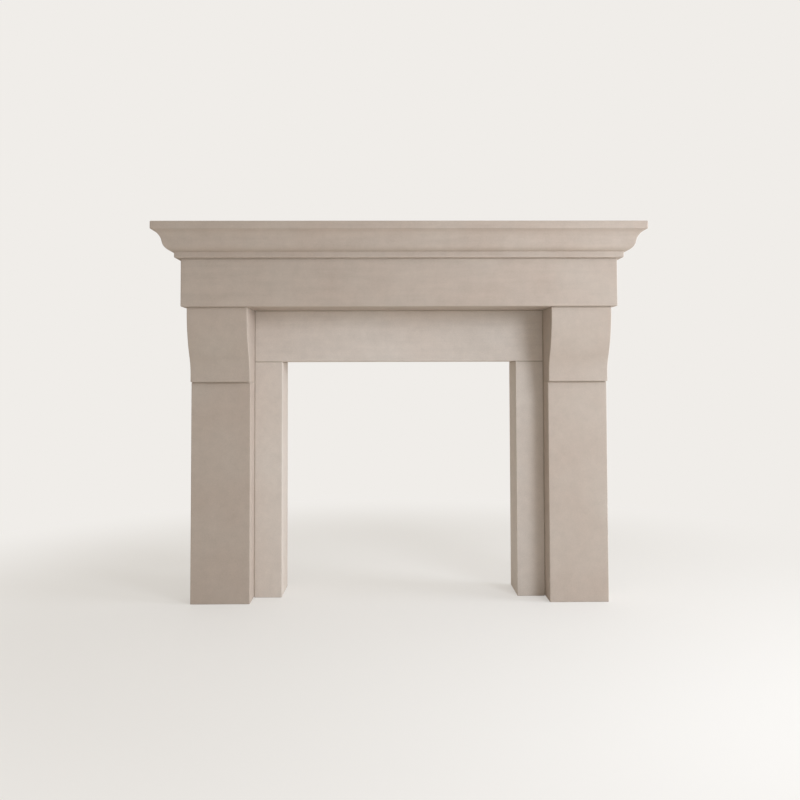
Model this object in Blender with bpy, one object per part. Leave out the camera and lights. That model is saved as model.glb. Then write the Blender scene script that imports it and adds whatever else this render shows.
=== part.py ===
"""Cast-stone fireplace surround: legs, corbels, frieze, moulded shelf, inner slips and lintel.

Units are metres. The front faces -Y, the wall is on the +Y side and +Z is up.
The origin is on the floor, in the middle of the whole assembly.

Each stone is modelled in its own frame: x = 0 at its middle, y = 0 on the wall line,
z = 0 on its underside. It is then placed by its object's location.
"""

from math import atan2, cos, pi, radians, sin

import bmesh
import bpy

# Fire opening
opening_width = 0.914
opening_height = 0.914

# Inner slips and lintel: an L in section, a face on the wall and a return into the opening
slip_face_width = 0.107
slip_face_thickness = 0.027
return_depth = 0.149
return_thickness = 0.030

# Legs: castings open at the back
leg_width = 0.224
leg_depth = 0.118
leg_height = 0.833
leg_wall = 0.045
leg_web = 0.045

# Corbels: a belly above a hollow, between two short upright lengths
corbel_height = 0.2775
corbel_brow_projection = 0.083
corbel_toe_projection = 0.0165
corbel_brow_height = 0.012
corbel_toe_height = 0.026
corbel_belly_share = 0.72
corbel_wall = 0.045
corbel_web = 0.040

# Frieze
frieze_height = 0.177
frieze_front_overhang = 0.016
frieze_side_overhang = 0.019
frieze_wall = 0.030

# Shelf: small fillet, ovolo, throat, cavetto and top fillet, carried round three sides
small_fillet_height = 0.022
small_fillet_projection = 0.020
ovolo_radius = 0.036
ovolo_sweep = radians(78.0)
throat_length = 0.008
cavetto_radius = 0.050
cavetto_sweep = radians(57.0)
top_fillet_step = 0.002
top_fillet_height = 0.0285
shelf_wall = 0.030

# Hollow backs: ribs stand over the corbels, and the cores narrow towards the front
rib_thickness = 0.040
core_draft = 0.003

# Eased edges
stone_arris = 0.003
fillet_arris = 0.003
mitre_arris = 0.003

# Joints: a bed of mortar between stone and stone, kept back from the faces
joint_width = 0.002
joint_recess = 0.003
seat_gap = 0.0003

# Dowel pins
pin_diameter = 0.010
pin_length = 0.050
pin_chamfer = 0.001
leg_pin_spread = 0.110
rib_pin_front_inset = 0.050
rib_pin_back_inset = 0.085
slip_pin_inset = 0.060

# Wall ties: bent straps let into the top of a stone, with their upright on the wall line
tie_width = 0.040
tie_thickness = 0.003
tie_flange = 0.060
tie_rise = 0.075
tie_bend_radius = 0.005
tie_hole_pitch = 0.026
tie_hole_edge = 0.012
frieze_tie_pitch = 0.452

# Countersunk screws, which hold the ties down
screw_diameter = 0.006
screw_length = 0.026
screw_head_diameter = 0.011
screw_head_rim = 0.0004
screw_tip_diameter = 0.002
screw_tip_length = 0.004
screw_socket_diameter = 0.004
screw_socket_depth = 0.0016
screw_clearance = 0.0004

# How finely curves are stepped
arris_steps = 3
mitre_steps = 2
ovolo_steps = 9
cavetto_steps = 8
belly_steps = 12
hollow_steps = 6
bend_steps = 3
round_segments = 12

# The two sides of the opening, with the word that goes into their pieces' names
both_sides = ((-1, "left"), (1, "right"))

# How far a cutter runs past the face that it opens
overrun = 0.010
# Edges sharper than this are eased, and are drawn as sharp edges
eased_angle = radians(40.0)
sharp_angle = radians(35.0)


def arc(centre, radius, start, sweep, steps):
    """Points on an arc, both ends included; angles run from +x towards +y."""
    points = []
    for step in range(steps + 1):
        angle = start + sweep * step / steps
        points.append((centre[0] + radius * cos(angle), centre[1] + radius * sin(angle)))
    return points


def cornice_profile():
    """The shelf's edge as (projection past the frieze, height) points, from the bottom up."""
    fillet_corner = (small_fillet_projection - stone_arris, stone_arris)
    points = arc(fillet_corner, stone_arris, -pi / 2, pi / 2, arris_steps)

    ovolo_centre = (small_fillet_projection, small_fillet_height + ovolo_radius)
    points += arc(ovolo_centre, ovolo_radius, -pi / 2, ovolo_sweep, ovolo_steps)

    lean = pi / 2 - ovolo_sweep
    throat_top = (points[-1][0] + throat_length * sin(lean), points[-1][1] + throat_length * cos(lean))
    cavetto_centre = (
        throat_top[0] + cavetto_radius * cos(lean),
        throat_top[1] - cavetto_radius * sin(lean),
    )
    points += arc(cavetto_centre, cavetto_radius, pi - lean, -cavetto_sweep, cavetto_steps)

    face = points[-1][0] + top_fillet_step
    lower_edge = points[-1][1]
    upper_edge = lower_edge + top_fillet_height
    points += arc((face - fillet_arris, lower_edge + fillet_arris), fillet_arris, -pi / 4, pi / 4, 1)
    points += arc((face - fillet_arris, upper_edge - fillet_arris), fillet_arris, 0.0, pi / 2, arris_steps)
    return points


def corbel_profile():
    """The corbel's front as (projection past the leg, height) points, from the toe up."""
    drop = corbel_height - corbel_brow_height - corbel_toe_height
    set_back = corbel_brow_projection - corbel_toe_projection
    sweep = 2.0 * atan2(set_back, drop)
    radii = drop / sin(sweep)
    belly_radius = radii * corbel_belly_share
    hollow_radius = radii - belly_radius

    hollow_centre = (corbel_toe_projection + hollow_radius, corbel_toe_height)
    belly_centre = (corbel_brow_projection - belly_radius, corbel_height - corbel_brow_height)
    points = [(corbel_toe_projection, 0.0)]
    points += arc(hollow_centre, hollow_radius, pi, -sweep, hollow_steps)
    points += arc(belly_centre, belly_radius, -sweep, sweep, belly_steps)[1:]
    points.append((corbel_brow_projection, corbel_height))
    return points


# Levels, worked out from the floor up
corbel_bottom = leg_height + joint_width
corbel_top = corbel_bottom + corbel_height
frieze_bottom = corbel_top + joint_width
frieze_top = frieze_bottom + frieze_height
shelf_bottom = frieze_top + joint_width
shelf_height = cornice_profile()[-1][1]

# Distances across the front
leg_inner_x = opening_width / 2 + slip_face_width + joint_width
leg_centre_x = leg_inner_x + leg_width / 2
leg_outer_x = leg_inner_x + leg_width
frieze_half_width = leg_outer_x + frieze_side_overhang

# Distances from front to back
frieze_depth = leg_depth + corbel_brow_projection + frieze_front_overhang
cornice_projection = max(point[0] for point in cornice_profile())
total_depth = frieze_depth + cornice_projection + return_depth
wall_y = total_depth / 2 - return_depth

# Bays of the hollow backs, left, middle and right of the two ribs
rib_inner_x = leg_centre_x - rib_thickness / 2
rib_outer_x = leg_centre_x + rib_thickness / 2
corbel_tie_offset = (rib_outer_x + frieze_half_width - frieze_wall) / 2 - leg_centre_x

# Where the pins stand, measured from each stone's own middle and from the wall line
pin_radius = pin_diameter / 2
pin_bore_radius = pin_radius + seat_gap
pin_bore_depth = (pin_length - joint_width) / 2 + seat_gap
leg_pin_places = [(-leg_pin_spread / 2, -leg_depth / 2), (leg_pin_spread / 2, -leg_depth / 2)]
corbel_depth = leg_depth + corbel_brow_projection
rib_pin_ys = [-corbel_depth + rib_pin_front_inset, -rib_pin_back_inset]
slip_pin_x = opening_width / 2 + return_thickness / 2

# Ties and screws
tie_seat_depth = tie_thickness + seat_gap
tie_slot_half_width = tie_width / 2 + seat_gap
tie_hole_ys = [-tie_flange + tie_hole_edge + tie_hole_pitch * step for step in (0, 1)]
tie_hole_zs = [tie_rise - tie_hole_edge - tie_hole_pitch * step for step in (0, 1)]
screw_radius = screw_diameter / 2
screw_head_radius = screw_head_diameter / 2
screw_head_height = screw_head_rim + screw_head_radius - screw_radius


def clear_scene():
    for item in list(bpy.data.objects):
        bpy.data.objects.remove(item, do_unlink=True)


def linear(channel):
    """One sRGB channel, 0 to 1, as a linear value."""
    if channel <= 0.04045:
        return channel / 12.92
    return ((channel + 0.055) / 1.055) ** 2.4


def material(name, colour, roughness, metallic):
    result = bpy.data.materials.new(name)
    result.use_nodes = True
    shader = result.node_tree.nodes["Principled BSDF"]
    channels = [linear(int(colour[start:start + 2], 16) / 255.0) for start in (1, 3, 5)]
    shader.inputs["Base Color"].default_value = (*channels, 1.0)
    shader.inputs["Roughness"].default_value = roughness
    shader.inputs["Metallic"].default_value = metallic
    result.diffuse_color = (*channels, 1.0)
    return result


def skin(rings):
    """A closed solid over rings of points that each have the same count, with flat ends."""
    shape = bmesh.new()
    loops = [[shape.verts.new(point) for point in ring] for ring in rings]
    for lower, upper in zip(loops, loops[1:]):
        for index in range(len(lower)):
            following = (index + 1) % len(lower)
            shape.faces.new((lower[index], lower[following], upper[following], upper[index]))
    shape.faces.new(reversed(loops[0]))
    shape.faces.new(loops[-1])
    bmesh.ops.recalc_face_normals(shape, faces=shape.faces)
    return shape


def upright_prism(outline, bottom, top):
    """An (x, y) outline raised between two heights."""
    return skin([[(x, y, z) for x, y in outline] for z in (bottom, top)])


def block(x_range, y_range, z_range):
    outline = [
        (x_range[0], y_range[0]),
        (x_range[1], y_range[0]),
        (x_range[1], y_range[1]),
        (x_range[0], y_range[1]),
    ]
    return upright_prism(outline, z_range[0], z_range[1])


def turned(profile, segments=round_segments):
    """A solid turned round Z from (radius, height) points, with flat ends."""
    angles = [2.0 * pi * step / segments for step in range(segments)]
    return skin([[(r * cos(angle), r * sin(angle), z) for angle in angles] for r, z in profile])


def moved(shape, x=0.0, y=0.0, z=0.0):
    bmesh.ops.translate(shape, verts=shape.verts, vec=(x, y, z))
    return shape


def joined(shapes):
    """Separate closed shapes in one mesh, to cut with in one go."""
    whole = bmesh.new()
    carrier = bpy.data.meshes.new("carrier")
    for shape in shapes:
        shape.to_mesh(carrier)
        whole.from_mesh(carrier)
        shape.free()
    bpy.data.meshes.remove(carrier)
    return whole


def eased(shape, radius, keep_sharp=None):
    """The shape with its outer edges rounded, apart from those that keep_sharp picks."""
    edges = []
    for edge in shape.edges:
        if not edge.is_convex or edge.calc_face_angle() < eased_angle:
            continue
        if keep_sharp and keep_sharp(edge):
            continue
        edges.append(edge)
    bmesh.ops.bevel(
        shape,
        geom=edges,
        offset=radius,
        offset_type="OFFSET",
        segments=arris_steps,
        profile=0.5,
        affect="EDGES",
        clamp_overlap=True,
    )
    return shape


def on_struck_back(edge):
    """True for the edges of the rough face that stands against the wall."""
    return all(vertex.co.y > -seat_gap for vertex in edge.verts)


def scene_object(name, mesh):
    result = bpy.data.objects.new(name, mesh)
    bpy.context.scene.collection.objects.link(result)
    return result


def mesh_of(shape, name):
    mesh = bpy.data.meshes.new(name)
    shape.to_mesh(mesh)
    shape.free()
    return mesh


def carved(shape, cutters, name):
    """The shape with each cutter taken out of it, as a plain mesh."""
    blank = scene_object(name + "_blank", mesh_of(shape, name + "_blank"))
    tools = []
    for cutter in cutters:
        tool = scene_object(name + "_cutter", mesh_of(cutter, name + "_cutter"))
        tool.hide_render = True
        tool.display_type = "WIRE"
        carve = blank.modifiers.new("carve", "BOOLEAN")
        carve.operation = "DIFFERENCE"
        carve.solver = "EXACT"
        carve.object = tool
        tools.append(tool)
    depsgraph = bpy.context.evaluated_depsgraph_get()
    mesh = bpy.data.meshes.new_from_object(blank.evaluated_get(depsgraph))
    mesh.name = name
    for temporary in [blank, *tools]:
        data = temporary.data
        bpy.data.objects.remove(temporary, do_unlink=True)
        bpy.data.meshes.remove(data)
    return mesh


def place(name, mesh, finish, location):
    """One named piece at its place in the assembly."""
    if not mesh.materials:
        mesh.materials.append(finish)
    mesh.shade_smooth()
    mesh.set_sharp_from_angle(angle=sharp_angle)
    piece = scene_object(name, mesh)
    piece.location = location
    return piece


def tapered_core(bottom_xs, top_xs, bottom_depth, top_depth, bottom, top):
    """A core drawn out through the back: it narrows by the draft towards the front."""

    def plan(xs, depth):
        return [
            (xs[0], overrun),
            (xs[1], overrun),
            (xs[1] - core_draft, -depth),
            (xs[0] + core_draft, -depth),
        ]

    lower = [(x, y, bottom) for x, y in plan(bottom_xs, bottom_depth)]
    upper = [(x, y, top) for x, y in plan(top_xs, top_depth)]
    return skin([lower, upper])


def pin_bores(places, face_height, upward):
    """Bores for pins, into a stone from its underside (upward) or from its top."""
    if upward:
        ends = (face_height - overrun, face_height + pin_bore_depth)
    else:
        ends = (face_height - pin_bore_depth, face_height + overrun)
    profile = [(pin_bore_radius, ends[0]), (pin_bore_radius, ends[1])]
    return joined([moved(turned(profile), x, y) for x, y in places])


def tie_seat(offsets, face_height):
    """Rebates for ties in the top of a stone, open at the back."""
    seats = []
    for offset in offsets:
        x_range = (offset - tie_slot_half_width, offset + tie_slot_half_width)
        y_range = (-tie_flange - seat_gap, overrun)
        seats.append(block(x_range, y_range, (face_height - tie_seat_depth, face_height + overrun)))
    return joined(seats)


def tie_chase(offsets, web):
    """Slots up the back of a stone's lower web, which pass a tie's upright."""
    chases = []
    for offset in offsets:
        x_range = (offset - tie_slot_half_width, offset + tie_slot_half_width)
        chases.append(block(x_range, (-tie_seat_depth, overrun), (-overrun, web + seat_gap)))
    return joined(chases)


def screw_bores(offsets, face_height):
    """Bores for the screws that hold ties down on the top of a stone."""
    radius = screw_radius + screw_clearance
    depth = face_height - screw_length - screw_clearance
    profile = [(radius, depth), (radius, face_height + overrun)]
    return joined([moved(turned(profile), offset, y) for offset in offsets for y in tie_hole_ys])


def leg_mesh():
    """An upright casting, open at the back between its end webs."""
    stone = block((-leg_width / 2, leg_width / 2), (-leg_depth, 0.0), (0.0, leg_height))
    stone = eased(stone, stone_arris, on_struck_back)
    sides = (-leg_width / 2 + leg_wall, leg_width / 2 - leg_wall)
    depth = leg_depth - leg_wall
    core = tapered_core(sides, sides, depth, depth, leg_web, leg_height - leg_web)
    bores = pin_bores(leg_pin_places, leg_height, upward=False)
    cutters = [core, bores, tie_seat([0.0], leg_height), screw_bores([0.0], leg_height)]
    return carved(stone, cutters, "leg")


def corbel_mesh(side):
    """A console with an S-shaped front, hollow behind; its core leans back with the front."""
    front = [(-leg_depth - projection, height) for projection, height in corbel_profile()]
    outline = front + [(0.0, corbel_height), (0.0, 0.0)]
    stone = skin([[(x, y, z) for y, z in outline] for x in (-leg_width / 2, leg_width / 2)])
    stone = eased(stone, stone_arris, on_struck_back)
    sides = (-leg_width / 2 + corbel_wall, leg_width / 2 - corbel_wall)
    core = tapered_core(
        sides,
        sides,
        leg_depth + corbel_toe_projection - corbel_wall,
        leg_depth + corbel_brow_projection - corbel_wall,
        corbel_web,
        corbel_height - corbel_web,
    )
    tie_offset = side * corbel_tie_offset
    cutters = [
        core,
        pin_bores(leg_pin_places, 0.0, upward=True),
        pin_bores([(0.0, y) for y in rib_pin_ys], corbel_height, upward=False),
        tie_chase([0.0], corbel_web),
        tie_seat([tie_offset], corbel_height),
        screw_bores([tie_offset], corbel_height),
    ]
    return carved(stone, cutters, "corbel")


def rib_pin_places():
    return [(side * leg_centre_x, y) for side in (-1, 1) for y in rib_pin_ys]


def corbel_tie_places():
    return [side * (leg_centre_x + corbel_tie_offset) for side in (-1, 1)]


def frieze_tie_places():
    return [-frieze_tie_pitch, 0.0, frieze_tie_pitch]


def frieze_mesh():
    """The plain band: a long casting with three bays at its back, parted by two ribs."""
    stone = block((-frieze_half_width, frieze_half_width), (-frieze_depth, 0.0), (0.0, frieze_height))
    stone = eased(stone, stone_arris, on_struck_back)
    end_x = frieze_half_width - frieze_wall
    depth = frieze_depth - frieze_wall
    spans = [(-end_x, -rib_outer_x), (-rib_inner_x, rib_inner_x), (rib_outer_x, end_x)]
    cores = [
        tapered_core(span, span, depth, depth, frieze_wall, frieze_height - frieze_wall)
        for span in spans
    ]
    cutters = [
        joined(cores),
        pin_bores(rib_pin_places(), 0.0, upward=True),
        pin_bores(rib_pin_places(), frieze_height, upward=False),
        tie_chase(corbel_tie_places(), frieze_wall),
        tie_seat(frieze_tie_places(), frieze_height),
        screw_bores(frieze_tie_places(), frieze_height),
    ]
    return carved(stone, cutters, "frieze")


def cornice_ring(projection, height):
    """The shelf's plan at one height: both mitred corners are a little rounded."""
    half_width = frieze_half_width + projection
    front = -frieze_depth - projection
    left = arc((-half_width + mitre_arris, front + mitre_arris), mitre_arris, pi, pi / 2, mitre_steps)
    right = arc((half_width - mitre_arris, front + mitre_arris), mitre_arris, -pi / 2, pi / 2, mitre_steps)
    plan = [(-half_width, 0.0), *left, *right, (half_width, 0.0)]
    return [(x, y, height) for x, y in plan]


def projection_at(height):
    """How far the cornice stands past the frieze at one height."""
    points = cornice_profile()
    for lower, upper in zip(points, points[1:]):
        if lower[1] <= height <= upper[1] and upper[1] > lower[1]:
            share = (height - lower[1]) / (upper[1] - lower[1])
            return lower[0] + share * (upper[0] - lower[0])
    return points[-1][0]


def shelf_mesh():
    """The moulded shelf: its profile runs round three sides, and its back is hollow."""
    stone = skin([cornice_ring(projection, height) for projection, height in cornice_profile()])
    bottom = shelf_wall
    top = shelf_height - shelf_wall
    lower_reach = small_fillet_projection - shelf_wall
    upper_reach = projection_at(top) - shelf_wall
    spans = [
        ((-frieze_half_width - lower_reach, -rib_outer_x), (-frieze_half_width - upper_reach, -rib_outer_x)),
        ((-rib_inner_x, rib_inner_x), (-rib_inner_x, rib_inner_x)),
        ((rib_outer_x, frieze_half_width + lower_reach), (rib_outer_x, frieze_half_width + upper_reach)),
    ]
    cores = [
        tapered_core(low, high, frieze_depth + lower_reach, frieze_depth + upper_reach, bottom, top)
        for low, high in spans
    ]
    cutters = [
        joined(cores),
        pin_bores(rib_pin_places(), 0.0, upward=True),
        tie_chase(frieze_tie_places(), shelf_wall),
    ]
    return carved(stone, cutters, "mantel_shelf")


def slip_outline(side, inset=0.0):
    """Plan of a slip, seen from above; inset draws in its open sides, as mortar lies."""
    inner = opening_width / 2 + inset
    outer = opening_width / 2 + slip_face_width
    cheek = opening_width / 2 + return_thickness - inset
    front = -slip_face_thickness + inset
    points = [
        (inner, front),
        (outer, front),
        (outer, -inset),
        (cheek, -inset),
        (cheek, return_depth - inset),
        (inner, return_depth - inset),
    ]
    return [(side * x, y) for x, y in points]


def slip_mesh(side):
    """A slip beside the opening: its face stands on the wall and its cheek lines the opening."""
    height = opening_height - joint_width
    stone = eased(upright_prism(slip_outline(side), 0.0, height), stone_arris)
    bores = pin_bores([(side * slip_pin_x, slip_pin_inset)], height, upward=False)
    return carved(stone, [bores], "inner_slip")


def lintel_mesh():
    """The stone over the opening: a face between the corbels, and a soffit drawn out of its back."""
    half_width = opening_width / 2 + slip_face_width
    soffit_half_width = opening_width / 2 + return_thickness
    height = corbel_top - opening_height
    stone = block((-half_width, half_width), (-slip_face_thickness, 0.0), (0.0, height))
    planes = [
        ((-soffit_half_width, 0.0, 0.0), (1.0, 0.0, 0.0)),
        ((soffit_half_width, 0.0, 0.0), (1.0, 0.0, 0.0)),
        ((0.0, 0.0, return_thickness), (0.0, 0.0, 1.0)),
    ]
    for point, normal in planes:
        everything = [*stone.verts, *stone.edges, *stone.faces]
        bmesh.ops.bisect_plane(stone, geom=everything, plane_co=point, plane_no=normal)
    soffit_back = []
    for face in stone.faces:
        centre = face.calc_center_median()
        behind = centre.y > -seat_gap
        if behind and abs(centre.x) < soffit_half_width and centre.z < return_thickness:
            soffit_back.append(face)
    drawn = bmesh.ops.extrude_face_region(stone, geom=soffit_back)
    bmesh.ops.delete(stone, geom=soffit_back, context="FACES")
    moving = [item for item in drawn["geom"] if isinstance(item, bmesh.types.BMVert)]
    bmesh.ops.translate(stone, verts=moving, vec=(0.0, return_depth, 0.0))
    bmesh.ops.dissolve_limit(stone, angle_limit=radians(1.0), verts=stone.verts, edges=stone.edges)
    bmesh.ops.recalc_face_normals(stone, faces=stone.faces)
    stone = eased(stone, stone_arris)
    bores = pin_bores([(side * slip_pin_x, slip_pin_inset) for side in (-1, 1)], 0.0, upward=True)
    return carved(stone, [bores], "inner_lintel")


def mortar_mesh(outline, pins):
    """A bed of mortar, pierced where pins pass through it."""
    thickness = joint_width - 2 * seat_gap
    bed = upright_prism(outline, 0.0, thickness)
    if not pins:
        return mesh_of(bed, "mortar")
    profile = [(pin_bore_radius, -overrun), (pin_bore_radius, thickness + overrun)]
    holes = joined([moved(turned(profile), x, y) for x, y in pins])
    return carved(bed, [holes], "mortar")


def mortar_rectangle(half_width, depth):
    """Plan of a bed: it is kept back from the faces, and ends at the back where the ties bend up."""
    x = half_width - joint_recess
    front = -depth + joint_recess
    back = -tie_bend_radius
    return [(-x, front), (x, front), (x, back), (-x, back)]


def pin_mesh():
    profile = [
        (pin_radius - pin_chamfer, 0.0),
        (pin_radius, pin_chamfer),
        (pin_radius, pin_length - pin_chamfer),
        (pin_radius - pin_chamfer, pin_length),
    ]
    return mesh_of(turned(profile), "dowel_pin")


def screw_mesh():
    """A countersunk screw, its head's top at z = 0, with a round drive socket."""
    profile = [
        (screw_tip_diameter / 2, -screw_length),
        (screw_radius, -screw_length + screw_tip_length),
        (screw_radius, -screw_head_height),
        (screw_head_radius, -screw_head_rim),
        (screw_head_radius, 0.0),
        (screw_socket_diameter / 2, 0.0),
        (screw_socket_diameter / 2, -screw_socket_depth),
    ]
    return mesh_of(turned(profile), "stone_screw")


def countersink():
    """A cutter for one screw hole, its mouth at z = 0."""
    throat = screw_radius + screw_clearance
    mouth = screw_head_radius + screw_clearance
    profile = [
        (throat, -tie_thickness - overrun),
        (throat, -screw_head_height),
        (mouth, -screw_head_rim),
        (mouth, overrun),
    ]
    return turned(profile)


def tie_mesh():
    """A strap bent to an L: its flange lies level, and its upright rises on the wall line."""
    inner_radius = tie_bend_radius - tie_thickness
    bend_centre = (-tie_bend_radius, -tie_thickness + tie_bend_radius)
    outer = arc(bend_centre, tie_bend_radius, -pi / 2, pi / 2, bend_steps)
    inner = arc(bend_centre, inner_radius, 0.0, -pi / 2, bend_steps)
    outline = [
        (-tie_flange, -tie_thickness),
        *outer,
        (0.0, tie_rise),
        (-tie_thickness, tie_rise),
        *inner,
        (-tie_flange, 0.0),
    ]
    strap = skin([[(x, y, z) for y, z in outline] for x in (-tie_width / 2, tie_width / 2)])
    level_holes = [moved(countersink(), 0.0, y) for y in tie_hole_ys]
    upright_holes = []
    for z in tie_hole_zs:
        hole = countersink()
        for vertex in hole.verts:
            vertex.co = (vertex.co.x, -tie_thickness - vertex.co.z, vertex.co.y)
        bmesh.ops.recalc_face_normals(hole, faces=hole.faces)
        upright_holes.append(moved(hole, z=z))
    return carved(strap, [joined(level_holes + upright_holes)], "wall_tie")


def build_stones(stone):
    leg = leg_mesh()
    for side, word in both_sides:
        place("leg_" + word, leg, stone, (side * leg_centre_x, wall_y, 0.0))
        place("corbel_" + word, corbel_mesh(side), stone, (side * leg_centre_x, wall_y, corbel_bottom))
        place("inner_slip_" + word, slip_mesh(side), stone, (0.0, wall_y, 0.0))
    place("inner_lintel", lintel_mesh(), stone, (0.0, wall_y, opening_height))
    place("frieze", frieze_mesh(), stone, (0.0, wall_y, frieze_bottom))
    place("mantel_shelf", shelf_mesh(), stone, (0.0, wall_y, shelf_bottom))


def build_mortar(mortar):
    leg_bed = mortar_mesh(mortar_rectangle(leg_width / 2, leg_depth), leg_pin_places)
    corbel_bed = mortar_mesh(
        mortar_rectangle(leg_width / 2, corbel_depth), [(0.0, y) for y in rib_pin_ys]
    )
    strip_length = corbel_top - joint_recess
    strip_inner = -slip_face_thickness + joint_recess
    for side, word in both_sides:
        x = side * leg_centre_x
        place("mortar_leg_" + word, leg_bed, mortar, (x, wall_y, leg_height + seat_gap))
        place("mortar_corbel_" + word, corbel_bed, mortar, (x, wall_y, corbel_top + seat_gap))
        slip_bed = mortar_mesh(slip_outline(side, joint_recess), [(side * slip_pin_x, slip_pin_inset)])
        slip_top = opening_height - joint_width
        place("mortar_slip_" + word, slip_bed, mortar, (0.0, wall_y, slip_top + seat_gap))
        half = joint_width / 2 - seat_gap
        strip = block((-half, half), (strip_inner, -joint_recess), (0.0, strip_length))
        x = side * (leg_inner_x - joint_width / 2)
        place("mortar_side_" + word, mesh_of(strip, "mortar"), mortar, (x, wall_y, joint_recess))
    # The lintel's bed runs on over the side joints, up to the beds on the corbels
    lintel_half = leg_inner_x + 2 * joint_recess - seat_gap
    lintel_bed = mortar_mesh(mortar_rectangle(lintel_half, slip_face_thickness), [])
    place("mortar_lintel", lintel_bed, mortar, (0.0, wall_y, corbel_top + seat_gap))
    frieze_bed = mortar_mesh(mortar_rectangle(frieze_half_width, frieze_depth), rib_pin_places())
    place("mortar_frieze", frieze_bed, mortar, (0.0, wall_y, frieze_top + seat_gap))


def build_pins(steel):
    pin = pin_mesh()

    def row(name, places, joint_bottom):
        for number, (x, y) in enumerate(places, start=1):
            centre = joint_bottom + joint_width / 2
            place(f"{name}_{number}", pin, steel, (x, wall_y + y, centre - pin_length / 2))

    for side, word in both_sides:
        centre_x = side * leg_centre_x
        row("pin_leg_" + word, [(centre_x + x, y) for x, y in leg_pin_places], leg_height)
        row("pin_corbel_" + word, [(centre_x, y) for y in rib_pin_ys], corbel_top)
        row("pin_frieze_" + word, [(centre_x, y) for y in rib_pin_ys], frieze_top)
        row("pin_slip_" + word, [(side * slip_pin_x, slip_pin_inset)], opening_height - joint_width)


def build_ties(steel):
    tie = tie_mesh()
    screw = screw_mesh()

    def fixed_tie(name, x, level):
        place("tie_" + name, tie, steel, (x, wall_y, level))
        for number, y in enumerate(tie_hole_ys, start=1):
            place(f"screw_{name}_{number}", screw, steel, (x, wall_y + y, level))

    for side, word in both_sides:
        fixed_tie("leg_" + word, side * leg_centre_x, leg_height)
        fixed_tie("corbel_" + word, side * (leg_centre_x + corbel_tie_offset), corbel_top)
    for word, x in zip(("left", "middle", "right"), frieze_tie_places()):
        fixed_tie("frieze_" + word, x, frieze_top)


def main():
    clear_scene()
    stone = material("cast_stone", "#B9AD9F", 0.85, 0.0)
    mortar = material("setting_mortar", "#85786A", 0.95, 0.0)
    steel = material("stainless_steel", "#B4B4B0", 0.35, 1.0)
    build_stones(stone)
    build_mortar(mortar)
    build_pins(steel)
    build_ties(steel)


main()
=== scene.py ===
# %% [markdown]
# # A cast-stone fireplace surround
# The real one is a set of nine castings: two legs, two corbels, a frieze, a moulded shelf,
# and an inner frame of two slips and a lintel. They are bedded on mortar, pinned to each
# other and tied to the wall. This lesson opens the engineer's model of those parts, gives
# the castings their small voids, points the joints, and finishes every surface.

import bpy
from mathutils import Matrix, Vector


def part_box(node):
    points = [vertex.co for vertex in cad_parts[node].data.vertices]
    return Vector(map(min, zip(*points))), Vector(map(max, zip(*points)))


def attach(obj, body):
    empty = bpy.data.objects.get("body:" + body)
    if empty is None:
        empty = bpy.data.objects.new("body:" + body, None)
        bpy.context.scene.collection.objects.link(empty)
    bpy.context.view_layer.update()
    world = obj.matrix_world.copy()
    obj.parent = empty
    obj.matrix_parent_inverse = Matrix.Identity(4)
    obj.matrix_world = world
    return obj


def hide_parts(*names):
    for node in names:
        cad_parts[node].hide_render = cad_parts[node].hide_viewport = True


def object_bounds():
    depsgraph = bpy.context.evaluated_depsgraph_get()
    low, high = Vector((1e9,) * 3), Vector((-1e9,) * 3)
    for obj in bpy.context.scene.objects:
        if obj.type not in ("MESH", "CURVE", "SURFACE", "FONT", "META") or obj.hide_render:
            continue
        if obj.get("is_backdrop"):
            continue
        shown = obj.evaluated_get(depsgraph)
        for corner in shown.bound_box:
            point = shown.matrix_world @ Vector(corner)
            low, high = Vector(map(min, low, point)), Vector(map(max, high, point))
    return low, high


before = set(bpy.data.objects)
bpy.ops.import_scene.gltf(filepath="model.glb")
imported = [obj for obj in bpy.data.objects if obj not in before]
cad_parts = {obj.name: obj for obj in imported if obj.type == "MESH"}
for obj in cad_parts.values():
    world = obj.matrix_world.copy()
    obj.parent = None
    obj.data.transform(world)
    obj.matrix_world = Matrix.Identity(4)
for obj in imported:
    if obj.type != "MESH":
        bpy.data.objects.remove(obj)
cad_low, cad_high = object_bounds()
print("The part measures", [round(1000 * size) for size in cad_high - cad_low], "mm")

# %% [markdown]
# Blender works in metres, and a mason thinks in millimetres. One name for the millimetre
# keeps both readable. The main levels are read from the frame, so that what is added here
# lies where the engineer's parts are.

# %% Units, and places read from the frame
from math import cos, pi, radians, sin, sqrt

import bmesh
import bpy
from mathutils import Matrix, Vector

mm = 0.001
FRIEZE_LOW, FRIEZE_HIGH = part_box("frieze")
SHELF_LOW, SHELF_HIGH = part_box("mantel_shelf")
WALL_Y = FRIEZE_HIGH.y
LEG_FRONT_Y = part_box("leg_left")[0].y
print(f"The wall line is at y = {WALL_Y / mm:.1f} mm")

# %% [markdown]
# A colour read off a sample card is an sRGB value, and a shader wants it linear. One
# function turns hex to linear. Another adds a node with its settings and its links, and
# both the materials and the geometry trees below are built with it.

# %% Colours and nodes
def linear(hex_colour):
    channels = [int(hex_colour[start:start + 2], 16) / 255 for start in (1, 3, 5)]
    return tuple(c / 12.92 if c <= 0.04045 else ((c + 0.055) / 1.055) ** 2.4 for c in channels) + (1.0,)


def feed(tree, node, links):
    """Gives each named input of a node its value, or links it to the outputs that feed it."""
    for name, value in links.items():
        socket = node.inputs[name]
        if isinstance(value, (bpy.types.NodeSocket, list)):
            for source in value if isinstance(value, list) else [value]:
                tree.links.new(source, socket)
        else:
            socket.default_value = value


def add_node(tree, kind, links=None, **settings):
    """Adds a node with its settings, and feeds its inputs."""
    node = tree.nodes.new(kind)
    for name, value in settings.items():
        setattr(node, name, value)
    feed(tree, node, links or {})
    return node


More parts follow.
